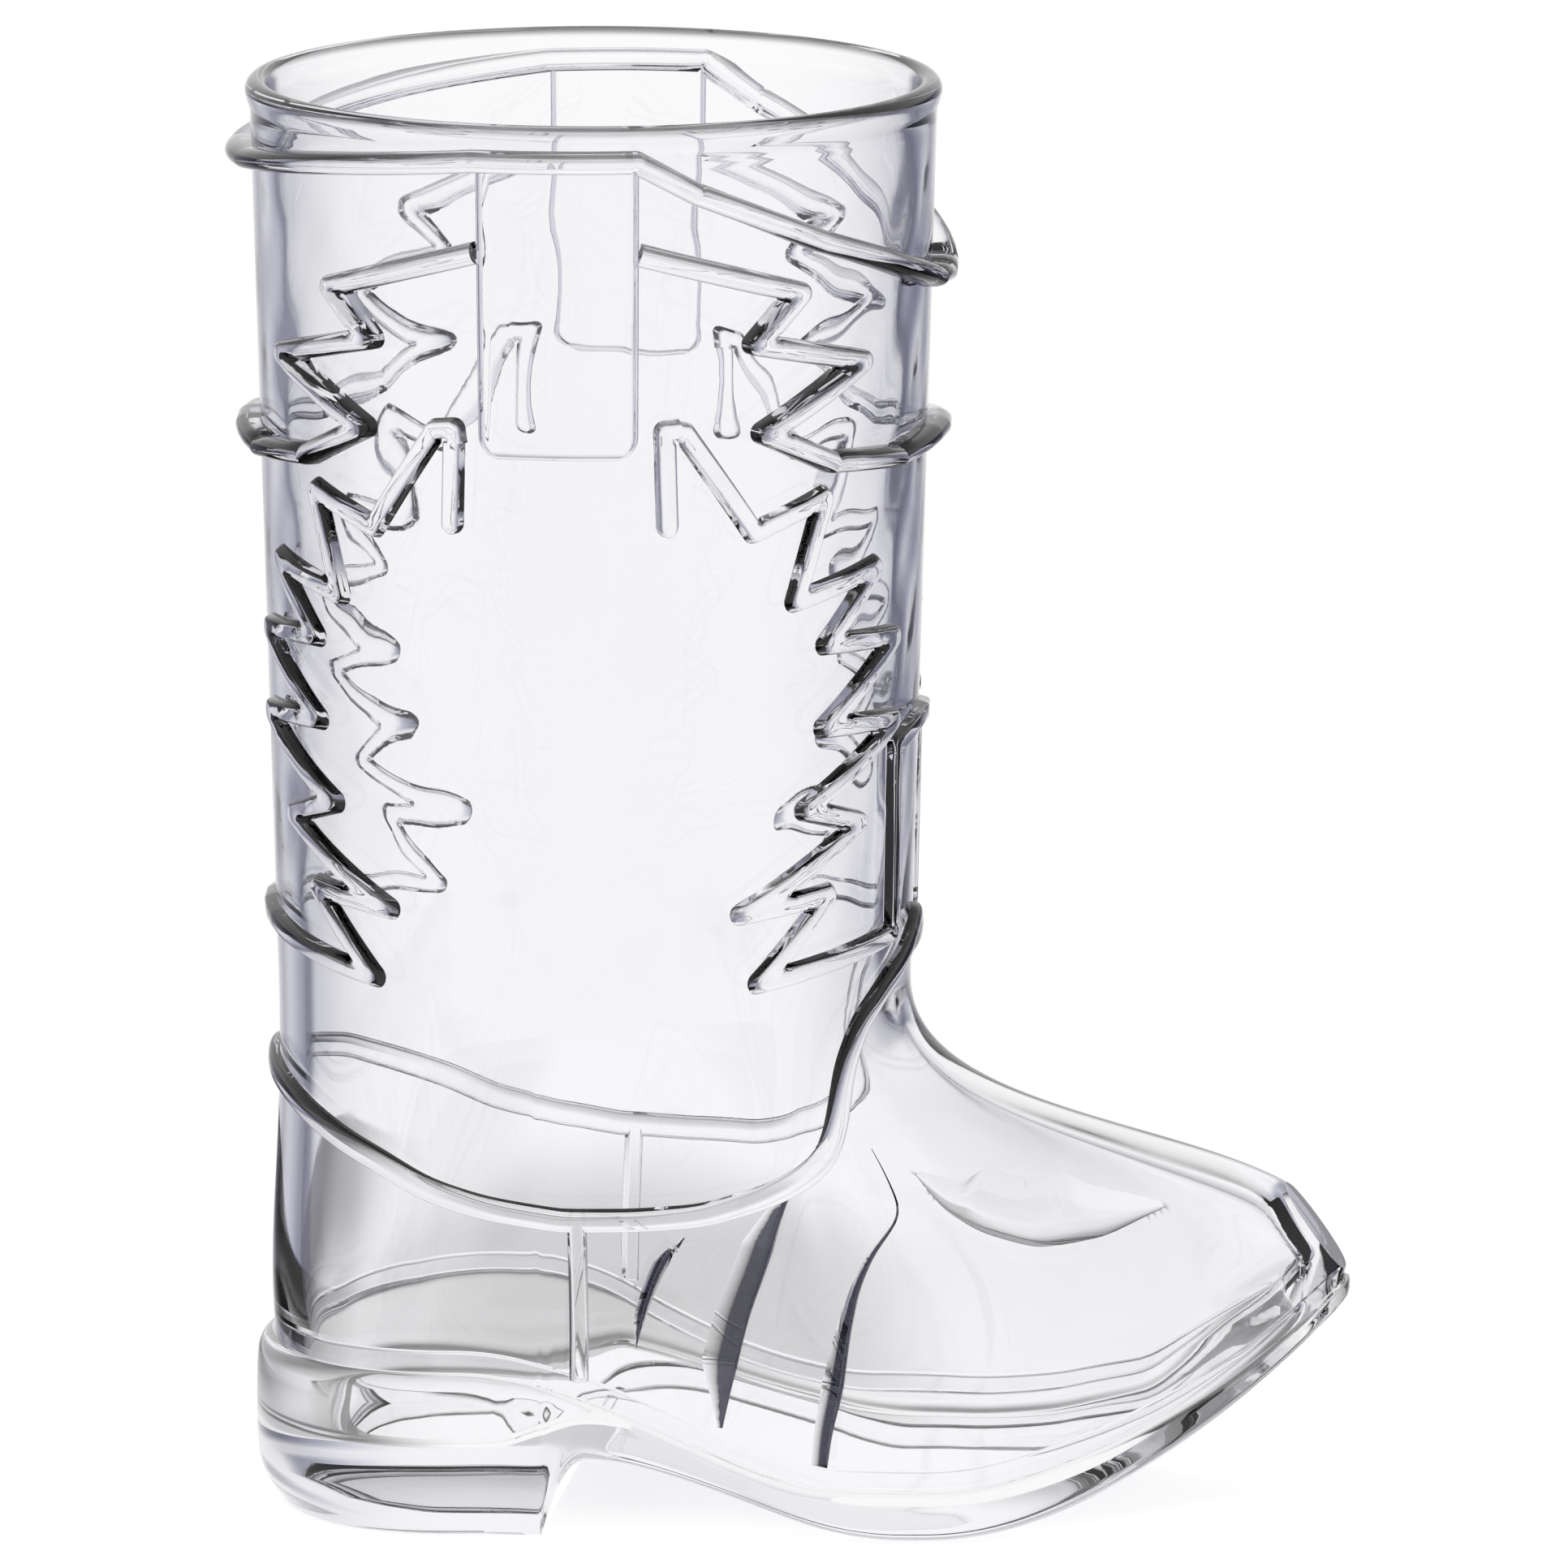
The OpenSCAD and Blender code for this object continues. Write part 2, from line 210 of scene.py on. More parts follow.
def foot(share):
    """A ring of the foot's outside: row share 0 is the welt, 1 the instep's top, and the shaft follows."""
    share = np.broadcast_to(np.asarray(share, float), (COUNT,))
    z = INSTEP_HIGH + (share - 1) * SHAFT_RUN
    low = bend(np.column_stack([WELT, welt_z(WELT[:, 0])]),
               np.column_stack([WELT + OUTWARD * SWELL[:, None], SWELL_Z]),
               on_shaft(ANGLE, shaft_r(INSTEP_LOW), INSTEP_LOW),
               on_shaft(ANGLE, shaft_r(INSTEP_HIGH), INSTEP_HIGH), np.minimum(share, 1))
    return np.where(share[:, None] > 1, on_shaft(ANGLE, shaft_r(z), z), low)


def cave(share):
    """A ring of the foot's hollow: row share 0 is at the sole's lip, 1 near the top of the instep."""
    r = shaft_r(INSTEP_HIGH) - WALL - THICKER
    p = bend(np.column_stack([HOLLOW, welt_z(HOLLOW[:, 0]) + LIP + LIP_GAP]),
             np.column_stack([HOLLOW + OUTWARD * SWELL[:, None], SWELL_Z - WALL * .6]),
             on_shaft(ANGLE, shaft_r(INSTEP_LOW) - WALL, INSTEP_LOW - WALL * .5),
             on_shaft(ANGLE, r, INSTEP_HIGH - WALL * .4), np.full(COUNT, float(share)))
    # its toe end fills the pointed tip and stops at two flat faces, which lie under the tip's flat facet
    near = ease(*TIP_FROM, p[:, 0]) * float(ease(*TIP_ROWS, share))
    p[:, 0] += TIP_LONGER * near
    p[:, 1] *= 1 + TIP_WIDER * near
    p[:, 2] += TIP_HIGHER * near
    for normal in TIP_ENDS:
        n = np.array(normal)
        p -= np.maximum(0, p @ n - TIP_FACE + TOE_SKIN)[:, None] * n
    return p


def inset(depth, z_of, up=0.0):
    """The outline moved inwards by a depth, at a height that follows x."""
    p = WELT - OUTWARD * np.broadcast_to(depth, (COUNT,))[:, None]
    return np.column_stack([p, z_of(p[:, 0]) + up])


# mesh helpers
def to_metres(points):
    return (np.asarray(points, float) + [SHAFT_X, 0, 0]) / 1000


def to_sizes(points):
    return np.array(points) * 1000 - [SHAFT_X, 0, 0]


def mesh_of(name, points, faces):
    me = bpy.data.meshes.new(name)
    me.from_pydata(to_metres(points).tolist(), [], faces)
    me.update()
    return me


def volume(me):
    me.calc_loop_triangles()
    co = np.array([v.co for v in me.vertices])
    t = np.array([x.vertices for x in me.loop_triangles])
    return float(np.einsum("ij,ij->i", co[t[:, 0]], np.cross(co[t[:, 1]], co[t[:, 2]])).sum() / 6)


def closed_out(me):
    """The closed mesh with its faces looking outwards."""
    if volume(me) < 0:
        me.flip_normals()
    return me


def tube(m, n, closed=False, caps=True):
    """Faces between m rings of n points; the last ring joins the first, or both ends may get a cap."""
    faces = []
    for k in range(m if closed else m - 1):
        u = (k + 1) % m
        for j in range(n):
            i = (j + 1) % n
            faces.append((k * n + j, k * n + i, u * n + i, u * n + j))
    if caps and not closed:
        faces.append(tuple(range(n - 1, -1, -1)))
        faces.append(tuple(range((m - 1) * n, m * n)))
    return faces


def smoothed(rows, times):
    """Rows averaged with their neighbours, with both ends kept."""
    for _ in range(times):
        rows[1:-1] = (rows[:-2] + 2 * rows[1:-1] + rows[2:]) / 4
    return rows


def lengths(points):
    """The way along a line of points at each point."""
    return np.concatenate([[0], np.cumsum(np.linalg.norm(np.diff(points, axis=0), axis=1))])


def places(at, way, points):
    """Points at given ways along a line."""
    return np.stack([np.interp(at, way, points[:, i]) for i in range(3)], 1)


def add(name, me):
    o = bpy.data.objects.new(name, me)
    scene.collection.objects.link(o)
    return o


def drop(o):
    me = o.data
    bpy.data.objects.remove(o)
    bpy.data.meshes.remove(me)


# folds: a section is points of (offset to the heel or down, depth, shade); its ends lie above the surface
WALL_WIDER = 1.35
WALL_ABOVE = .35
GROOVE_FLOOR = .08
STEP_RISE = (.03, .12, .25, .4, .55, .75, 1)
STEP_BACK = ((1.3, .95), (1.6, .78), (1.95, .52), (2.3, .26), (2.6, .08), (2.9, -.04))
STEP_SHADE = .42
STEP_LIP = (.17, -.34)


def groove(heel_wall, toe_wall, deep):
    return [(heel_wall * WALL_WIDER, -deep * WALL_ABOVE, 0), (GROOVE_FLOOR, deep, 1),
            (-GROOVE_FLOOR, deep, 1), (-toe_wall * WALL_WIDER, -deep * WALL_ABOVE, 0)]


def step(deep, wide):
    rise = [(-wide * x, deep * (1 - (1 - x) ** 2), STEP_SHADE * (1 - x) ** 1.5) for x in STEP_RISE]
    back = [(-wide * x, deep * y, 0) for x, y in STEP_BACK]
    off, deep_off = STEP_LIP
    return [(wide * off, deep * deep_off, 0)] + rise + back


# three creases at the ankle and the fold on the vamp, on the foot's near side: a line of (x, z) places from
# top to bottom or from heel to toe, its section, and shares of its size along the line
FOLDS = [
    ([(12, 32.5), (10, 29.5), (8.5, 26), (7.5, 23), (7, 20)], groove(1.1, .5, 1.2), (.3, 1, .8, .1)),
    ([(23.5, 37.5), (22, 34), (20.5, 29.5), (18.5, 24), (17, 18), (16, 11.5)],
     groove(3.4, .6, 1.5), (.3, .95, 1, .25)),
    ([(31.5, 41), (33, 38.5), (35, 34.5), (32, 30.5), (30.5, 27), (29.5, 22.5), (28.5, 16), (27.5, 12),
      (27, 8)], groove(1.7, .6, 1.3), (.1, .25, 1, .8)),
    ([(36, 38), (39, 34.5), (43, 32), (49, 30), (55.5, 30.5), (61.5, 33)], step(1.5, 3.2), (.1, 1, .95, .1)),
]
SHARE_AT = (0, .25, .75, 1)
FOLD_STEP = .6
LID = 2.5


def fold_cut(name, me, line, section, share):
    """A cutter along a line on the surface of a mesh with the given section, and its shaded points."""
    tree = BVHTree.FromPolygons([v.co.copy() for v in me.vertices], [tuple(f.vertices) for f in me.polygons])

    def settle(at):
        hits = [tree.find_nearest(Vector(x)) for x in to_metres(at)]
        normals = smoothed(np.array([h[1] for h in hits]), 12)
        return to_sizes([h[0] for h in hits]), unit(normals)

    # the line starts beside the foot and is moved sideways onto it
    line = np.array([(x, -BALL_W, z) for x, z in line], float)
    way = lengths(line)
    at = np.linspace(0, way[-1], int(way[-1] / FOLD_STEP))
    beside = smoothed(places(at, way, line), 8)
    inwards = Vector((0, 1, 0))
    on, normals = settle(to_sizes([tree.ray_cast(Vector(x), inwards)[0] for x in to_metres(beside)]))
    side = unit(np.cross(np.gradient(on, axis=0), normals))
    size = np.interp(np.linspace(0, 1, len(on)), SHARE_AT, share)[:, None]
    ring, lid, shaded = [], [], []
    for off, deep, shade in section:
        base, up = settle(on + side * off * size)
        ring.append(base - up * (deep * size if deep > 0 else deep))
        lid.append(base + up * LID)
        shaded += [(Vector(x), shade) for x in to_metres(ring[-1])]
    ring += lid[::-1]
    points = np.stack(ring, 1).reshape(-1, 3)
    return closed_out(mesh_of(name, points, tube(len(on), len(ring)))), shaded


# the upper without its raised bands; the rim's neck is rows of (depth under the rim, step outwards)
NECK_OUT = ((3.5, .02), (3.0, .1), (2.6, .22), (2.2, .36))
NECK_IN = ((1.9, .44), (2.6, .3), (3.3, .12), (4.0, .02))
NECK = 4.2
RIM_TURN = np.radians(np.arange(-20, 181, 12.5))
# the inner wall: its ends, the stretch over which it gets thinner, and the stretches where its waves fade
INNER_TOP = HEIGHT - 5
INNER_LOW = INSTEP_HIGH + 3
THICKER_TO = (58, 75)
WAVE_END = (HEIGHT - 12, INNER_TOP)
WAVE_START = (INNER_LOW, INSTEP_HIGH + 12)
# waves in it: (height, waves round the shaft, slope along z), and one round it that rises and falls
SLANT_WAVE = (.03, 17, .25)
FINE_WAVE = (.018, 29, -.4)
RING_WAVE = (.03, .55, 1.3, 5)
foot_grid = np.array([foot(share) for share in np.linspace(0, 1, FOOT_ROWS)])
foot_grid[0] = inset(0, welt_z, WELD_GAP)


def mould_wave(z):
    """Shallow waves of the core that formed the inner wall."""
    a = np.radians(ANGLE)

    def slanting(tall, turns, slope):
        return tall * np.sin(turns * a + slope * z)

    tall, pace, swing, turns = RING_WAVE
    ring = tall * np.sin(pace * z + swing * np.sin(turns * a))
    waves = slanting(*SLANT_WAVE) + ring + slanting(*FINE_WAVE)
    return waves * float((1 - ease(*WAVE_END, z)) * ease(*WAVE_START, z))


def inner_r(z):
    """The inner wall, a little thicker at the ankle."""
    return shaft_r(z) - WALL - THICKER * float(1 - ease(*THICKER_TO, z)) + mould_wave(z)


def upper_shell():
    bead = WALL / 2
    top = HEIGHT - bead
    centre = float(shaft_r(top)) - bead + RIM_ROLL
    rings = list(foot_grid)
    for z in np.linspace(INSTEP_HIGH, HEIGHT - NECK, SHAFT_ROWS)[1:]:
        rings.append(on_shaft(ANGLE, shaft_r(z), z))
    for down, out in NECK_OUT:
        rings.append(on_shaft(ANGLE, shaft_r(HEIGHT - down) + out, HEIGHT - down))
    for a in RIM_TURN:
        rings.append(on_shaft(ANGLE, centre + bead * math.cos(a), top + bead * math.sin(a)))
    for down, out in NECK_IN:
        rings.append(on_shaft(ANGLE, shaft_r(HEIGHT - down) - WALL + out, HEIGHT - down))
    for z in np.linspace(INNER_TOP, INNER_LOW, INNER_ROWS):
        rings.append(on_shaft(ANGLE, inner_r(z), z))
    for share in np.linspace(1, 0, CAVE_ROWS):
        rings.append(cave(share))
    rings.append(inset(LEDGE, welt_z, LIP + LIP_GAP))
    rings.append(inset(LEDGE, welt_z, WELD_GAP))
    return closed_out(mesh_of("upper_shell", np.vstack(rings), tube(len(rings), COUNT, closed=True)))


# raised bands: bars that follow a line on the surface, with half a section as shares of half the width and
# of the height, or with a round back
BAR_FOOT = 1.05
BAR_SHOULDER = ((1.02, 0), (.98, .16), (.86, .52), (.74, .82), (.64, .94), (.48, 1), (0, 1.005))
BACK_TURN = np.radians(np.linspace(8, 172, 15))
BACK_FLAT = .55


def bar_profile(wide, high):
    half = [(BAR_FOOT, -SINK)] + [(x, y * high) for x, y in BAR_SHOULDER]
    left = [(-x, y) for x, y in half[:-1]]
    return np.array([(x * wide / 2, y) for x, y in left + half[::-1]])


def round_profile(wide, high):
    arch = [(-math.cos(a) * wide / 2, high * math.sin(a) ** BACK_FLAT) for a in BACK_TURN]
    return np.array([(-wide / 2, -SINK)] + arch + [(wide / 2, -SINK)])


def swept(name, points, normals, sides, profile, closed):
    """A bar along points with its section set out by the sideways and outward directions."""
    across = sides[:, None, :] * profile[None, :, :1]
    up = normals[:, None, :] * profile[None, :, 1:]
    v = (points[:, None, :] + across + up).reshape(-1, 3)
    return closed_out(mesh_of(name, v, tube(len(points), len(profile), closed)))


# bends of the bars: the most that a tip reaches out, the turn that counts as straight, and steps and gaps
TIP_REACH = 2.5
STRAIGHT = .12
ARC_STEP = .22
INSIDE_R = .22
LEG_GAP = .4
LEG_END = .3
LEG_STEP = 2.2


def legs_of(corners):
    """Directions, left sides, lengths and turns of the legs between corners."""
    d = np.diff(corners, axis=0)
    length = np.linalg.norm(d, axis=1)
    d /= length[:, None]
    turn = np.zeros(len(corners))
    for i in range(1, len(corners) - 1):
        turn[i] = math.atan2(d[i - 1][0] * d[i][1] - d[i - 1][1] * d[i][0], d[i - 1] @ d[i])
    return d, np.stack([-d[:, 1], d[:, 0]], 1), length, turn


def flat_path(line, width):
    """Close samples with sideways vectors along corners in the unrolled plane, with bends round outside."""
    p = np.array(line, float)
    m, half = len(p), width / 2
    d, n, length, turn = legs_of(p)
    # a sharp bend moves out a little, so that its rounded tip reaches as far as a pointed one would
    for i in range(1, m - 1):
        out = (d[i - 1] - d[i]) / max(np.linalg.norm(d[i - 1] - d[i]), 1e-6)
        p[i] = p[i] + out * (min(half / math.cos(turn[i] / 2), TIP_REACH) - half)
    d, n, length, turn = legs_of(p)
    back = half * np.tan(np.abs(turn) / 2)
    for i in range(m - 1):
        short = back[i] + back[i + 1] + LEG_GAP - length[i]
        if short > 0:
            back[i if back[i] > back[i + 1] else i + 1] -= short
    points, side = [], []
    for i in range(m):
        if i in (0, m - 1):
            points.append(p[i])
            side.append(n[min(i, m - 2)])
        elif abs(turn[i]) < STRAIGHT:
            s = n[i - 1] + n[i]
            points.append(p[i])
            side.append(s / np.linalg.norm(s))
        else:
            left = 1 if turn[i] > 0 else -1
            hub = p[i] - d[i - 1] * back[i] + left * n[i - 1] * half
            outer = [hub - left * n[i - 1] * width]
            x, y = n[i - 1]
            for w in np.linspace(0, turn[i], max(3, int(abs(turn[i]) / ARC_STEP) + 1)):
                c, q = math.cos(w), math.sin(w)
                outer.append(p[i] - left * half * np.array([x * c - y * q, x * q + y * c]))
            outer.append(hub - left * n[i] * width)
            for o in outer:
                inner = hub + (o - hub) / np.linalg.norm(o - hub) * INSIDE_R
                points.append((o + inner) / 2)
                side.append(left * (inner - o) / width)
        if i < m - 1:
            low, high = back[i] + LEG_END, length[i] - back[i + 1] - LEG_END
            if high > low:
                for x in np.linspace(low, high, max(1, int((high - low) / LEG_STEP)) + 1):
                    points.append(p[i] + d[i] * x)
                    side.append(n[i])
    return np.array(points), np.array(side)


# a bar's round end: how far out its rows lie as shares of half the width, and the share of its height that
# stays at the tip; and the height whose radius unrolls the shaft
END_ROWS = np.array([.35, .65, .86, .97])
END_LOW = .45
UNROLL_Z = 105


def shaft_bar(name, line, high, closed=False, round_ends=True, shape=bar_profile):
    """A bar along (angle, height) corners on the shaft."""
    ref = float(shaft_r(UNROLL_Z))
    flat = [(math.radians(a) * ref, z) for a, z in line]
    if closed:
        lap = 2 * math.pi * ref
        before = (flat[-1][0] - lap, flat[-1][1])
        after = [(x + lap, z) for x, z in flat[:2]]
        p, s = flat_path([before] + flat + after, BAND_W)
        keep = (p[:, 0] >= flat[0][0] - 1e-6) & (p[:, 0] < flat[0][0] + lap - 1e-6)
        p, s = p[keep], s[keep]
    else:
        p, s = flat_path(flat, BAND_W)
    profile = shape(BAND_W, high)
    scale = np.ones(len(p))
    if not closed and round_ends:
        first, last = unit(np.array([p[0] - p[1], p[-1] - p[-2]]))
        out = (END_ROWS * BAND_W / 2)[:, None]
        narrow = np.sqrt(1 - END_ROWS ** 2)
        rows = len(END_ROWS)
        p = np.vstack([p[0] + first * out[::-1], p, p[-1] + last * out])
        s = np.vstack([np.repeat(s[:1], rows, 0), s, np.repeat(s[-1:], rows, 0)])
        scale = np.concatenate([narrow[::-1], scale, narrow])
    lower = np.where(scale < 1, END_LOW + (1 - END_LOW) * scale, 1)
    points = []
    for place, side, wide, tall in zip(p, s, scale, lower):
        q = place + side[None, :] * profile[:, :1] * wide
        up = np.where(profile[:, 1] > 0, profile[:, 1] * tall, profile[:, 1])
        points.append(on_shaft(np.degrees(q[:, 0] / ref), shaft_r(q[:, 1]) + up, q[:, 1]))
    return closed_out(mesh_of(name, np.vstack(points), tube(len(points), len(profile), closed)))


# lines of the bars as (angle from the toe or heel, height) on one side
ZIGZAG = [(71.3, 109.5), (71.3, 119.2), (68.6, 119.2), (55.5, 108.5), (42.5, 110.5), (46, 101), (29, 102.2),
          (38, 95.8), (22, 94.4), (38, 86.8), (21, 85.5), (42, 78), (32, 75.5), (55, 67.8), (40, 68),
          (51.5, 60.5), (18, 62.8)]
ZIGZAG_TOE = [(18, 82.5), (8, 84.2), (0, 84.5)]
ZIGZAG_HEEL = [(8, 63.4), (0, 63.5)]
WING = [(76.5, 138.5), (49.5, 133.3), (55, 128.7), (36, 125.2), (52.5, 118.9), (40.5, 115), (23, 114.2),
        (8, 115), (0, 115.1)]
COLLAR_TOE = [(90, 148.3), (77, 148.3), (67, 144.8), (44, 138.8), (22, 134.4), (8, 132), (0, 131.7)]
COLLAR_HEEL = [(76, 148.2), (50, 146.6), (20, 144.6), (0, 144.1)]
ANKLE = np.array([
    [0, 62.8], [11, 59.4], [20, 57], [28, 54], [34, 49.5], [37, 44.5], [40, 40.8], [45, 38.4], [51, 36.6],
    [62, 35], [76, 34.7], [91, 34.8], [106, 36], [116, 37.6], [126, 40.2], [140, 42.8], [155, 45.2],
    [180, 47.5]])
ANKLE_W = BAND_W + .2
ANKLE_STEP = 1.1


def front(chain):
    """The line and its mirror image round the toe side."""
    return [(-a, z) for a, z in chain] + [(a, z) for a, z in chain[::-1] if a > 0]


def rear(chain):
    """The line and its mirror image round the heel side."""
    return [(180 - a, z) for a, z in chain] + [(180 + a, z) for a, z in chain[::-1] if a > 0]


# a strap's eased edge as (distance from the edge, share of its height), and its middle columns and rows
STRAP_EDGE = np.array([[0, .05], [.07, .7], [.2, 1.05], [.34, 1.12], [.48, 1.02], [.62, .84], [.8, .78]])
STRAP_ROWS = np.concatenate([
    [.07, .2, .34, .48, .62, .8, 1.1, 1.5, 2, 2.6], np.linspace(3.4, STRAP_TALL, 12)])
STRAP_COLUMNS = 21
STRAP_MIDDLE = 133
STRAP_FOOT = .02


def strap(name, angle):
    """A flat pad with rounded lower corners and eased edges."""
    ref, side = float(shaft_r(STRAP_MIDDLE)), STRAP_W / 2
    heights = STRAP_LOW + STRAP_ROWS
    near = 1 - STRAP_EDGE[:, 0] / side
    columns = np.concatenate([-near, np.linspace(-near[-1], near[-1], STRAP_COLUMNS)[1:-1], near[::-1]])
    outer, inner = [], []
    for z in (heights[0] - STRAP_FOOT, *heights):
        at = max(z, STRAP_LOW + STRAP_FOOT)
        d = max(0.0, STRAP_LOW + STRAP_CORNER - at)
        half = side
        if d > 0:
            half = side - STRAP_CORNER + math.sqrt(max(0, STRAP_CORNER * STRAP_CORNER - d * d))
        turn = angle + np.degrees(columns * half / ref)
        gap = np.minimum(side * (1 - np.abs(columns)), at - STRAP_LOW)
        lift = STRAP_H * np.interp(gap, STRAP_EDGE[:, 0], STRAP_EDGE[:, 1])
        outer.append(on_shaft(turn, shaft_r(z) + lift, z))
        inner.append(on_shaft(turn, shaft_r(z) - SINK, z))
    m, n = len(outer), len(columns)
    base = m * n
    last = (m - 1) * n
    faces = []
    for a in range(0, last, n):
        b = a + n
        for j in range(n - 1):
            faces.append((a + j, a + j + 1, b + j + 1, b + j))
            faces.append((base + a + j, base + b + j, base + b + j + 1, base + a + j + 1))
    for a in range(0, last, n):
        b = a + n
        faces.append((a, b, base + b, base + a))
        faces.append((b + n - 1, a + n - 1, base + a + n - 1, base + b + n - 1))
    for j in range(n - 1):
        faces.append((j + 1, j, base + j, base + j + 1))
        faces.append((last + j, last + j + 1, base + last + j + 1, base + last + j))
    return closed_out(mesh_of(name, np.vstack(outer + inner), faces))


def foot_place(z):
    """Row share on each column where the foot's outside reaches height z."""
    low, high = np.zeros(COUNT), np.full(COUNT, 1.3)
    for _ in range(40):
        middle = (low + high) / 2
        below = foot(middle)[:, 2] < z
        low, high = np.where(below, middle, low), np.where(below, high, middle)
    return (low + high) / 2


def foot_frame(share):
    """Points and outward directions of the foot's outside at a row share on each column."""
    up = foot(share + .01) - foot(share - .01)
    # the row share changes from column to column, so the sideways step is taken at one share
    rings = [foot(np.full(COUNT, x)) for x in share]
    across = np.array([ring[(j + 1) % COUNT] - ring[j - 1] for j, ring in enumerate(rings)])
    return foot(share), unit(np.cross(across, up))


def ankle_bar():
    z = np.interp(np.abs(ANGLE), ANKLE[:, 0], ANKLE[:, 1])
    for _ in range(3):
        z = (np.roll(z, 1) + 2 * z + np.roll(z, -1)) / 4
    p, n = foot_frame(foot_place(z))
    # even steps along the line
    line = np.vstack([p, p[:1]])
    normals = np.vstack([n, n[:1]])
    way = lengths(line)
    at = np.linspace(0, way[-1], int(way[-1] / ANKLE_STEP), endpoint=False)
    points = places(at, way, line)
    up = unit(places(at, way, normals))
    along = unit(np.roll(points, -1, 0) - np.roll(points, 1, 0))
    side = unit(np.cross(up, along))
    return swept("ankle_bar", points, up, side, round_profile(ANKLE_W, ANKLE_H), True)


RIB_KNOT = 9
RIB_FROM = .05
RIB_ROWS = 22


def rib_bar(sign):
    """The rib from the welt up to the ankle band, on one side."""
    j = RIB_KNOT * STEPS if sign > 0 else COUNT - RIB_KNOT * STEPS
    z = float(np.interp(abs(ANGLE[j]), ANKLE[:, 0], ANKLE[:, 1]))
    stop = foot_place(np.full(COUNT, z))[j]
    rings = [foot(share) for share in np.linspace(RIB_FROM, stop, RIB_ROWS)]
    points = np.array([ring[j] for ring in rings])
    across = np.array([ring[(j + 1) % COUNT] - ring[j - 1] for ring in rings])
    along = np.gradient(points, axis=0)
    up = unit(np.cross(across, along))
    side = unit(np.cross(up, along))
    return swept("rib_bar", points, up, side, bar_profile(RIB_W, ANKLE_H), False)


SNIP_DOWN = 21
SNIP_HALF = 12
SNIP_DEEP = 8


def toe_snip():
    """A block in front of the flat facet at the tip of the toe."""
    n = np.array(TIP_NORMAL)
    n /= np.linalg.norm(n)
    across, up = np.array([0, 1., 0]), np.array([-n[2], 0, n[0]])
    centre = n * TIP_FACE - up * SNIP_DOWN
    corners = ((-1, -1), (1, -1), (1, 1), (-1, 1))
    points = [centre + (across * a + up * b) * SNIP_HALF + n * h for h in (0, SNIP_DEEP) for a, b in corners]
    return closed_out(mesh_of("toe_snip", np.array(points), tube(2, len(corners))))


# joining the meshes and keeping their smooth normals: the bends in degrees that stay smooth, the least
# agreement of a face with its source and with a corner's normal, the step off an edge as a share of the way
# to the face's middle, and a shade's reach in metres
SHELL_SMOOTH = 40
BAR_SMOOTH = 48
CUT_SMOOTH = 35
SOLE_SMOOTH = 42
SAME_WAY = .5
NEAR_WAY = .3
EDGE_STEP = .02
SHADE_REACH = .00005


def unite(me, tool, way="UNION"):
    """One solid of the two meshes, or the first without the second."""
    a, b = add("unite_a", me), add("unite_b", tool)
    change = a.modifiers.new("unite", "BOOLEAN")
    change.operation = way
    change.solver = "MANIFOLD"
    change.object = b
    bpy.context.view_layer.update()
    out = bpy.data.meshes.new_from_object(a.evaluated_get(bpy.context.evaluated_depsgraph_get()))
    drop(a)
    drop(b)
    return out


def soft_normals(me, angle):
    """Corner normals of a mesh that is smooth up to an angle, with a tree to look them up."""
    me.polygons.foreach_set("use_smooth", [True] * len(me.polygons))
    me.set_sharp_from_angle(angle=math.radians(angle))
    me.calc_loop_triangles()
    triangles = [tuple(t.vertices) for t in me.loop_triangles]
    loops = [tuple(t.loops) for t in me.loop_triangles]
    points = [v.co.copy() for v in me.vertices]
    normals = np.zeros(len(me.loops) * 3, np.float32)
    me.corner_normals.foreach_get("vector", normals)
    normals = normals.reshape(-1, 3).astype(float)
    return BVHTree.FromPolygons(points, triangles), points, triangles, loops, normals


def look_up(source, place, flat):
    """The smooth normal of a source at its point nearest to a place, or the flat one."""
    tree, points, triangles, loops, normals = source
    hit, _, i, _ = tree.find_nearest(place)
    a, b, c = (np.array(points[v]) for v in triangles[i])
    v0, v1, v2 = b - a, c - a, np.array(hit) - a
    d00, d01, d11, d20, d21 = v0 @ v0, v0 @ v1, v1 @ v1, v2 @ v0, v2 @ v1
    area = d00 * d11 - d01 * d01
    if area < 1e-24:
        return flat
    v, w = (d11 * d20 - d01 * d21) / area, (d00 * d21 - d01 * d20) / area
    la, lb, lc = loops[i]
    n = normals[la] * (1 - v - w) + normals[lb] * v + normals[lc] * w
    return n / max(np.linalg.norm(n), 1e-9)


def carry_normals(me, sources):
    """Each face of the united mesh takes the smooth normals of the surface that it was cut from."""
    out = np.zeros((len(me.loops), 3))
    verts = [v.co for v in me.vertices]
    for face in me.polygons:
        centre = face.center
        best, gap = None, 1e9
        for source in sources:
            _, normal, _, far = source[0].find_nearest(centre)
            if far is not None and far < gap - 1e-7 and (normal @ face.normal) > SAME_WAY:
                best, gap = source, far
        flat = np.array(face.normal)
        for corner in face.loop_indices:
            n = flat
            if best is not None:
                # a step towards the face's middle keeps the look-up on its own side of an edge
                n = look_up(best, verts[me.loops[corner].vertex_index].lerp(centre, EDGE_STEP), flat)
                if n @ flat < NEAR_WAY:
                    n = flat
            out[corner] = n
    me.polygons.foreach_set("use_smooth", [True] * len(me.polygons))
    me.normals_split_custom_set(out.tolist())


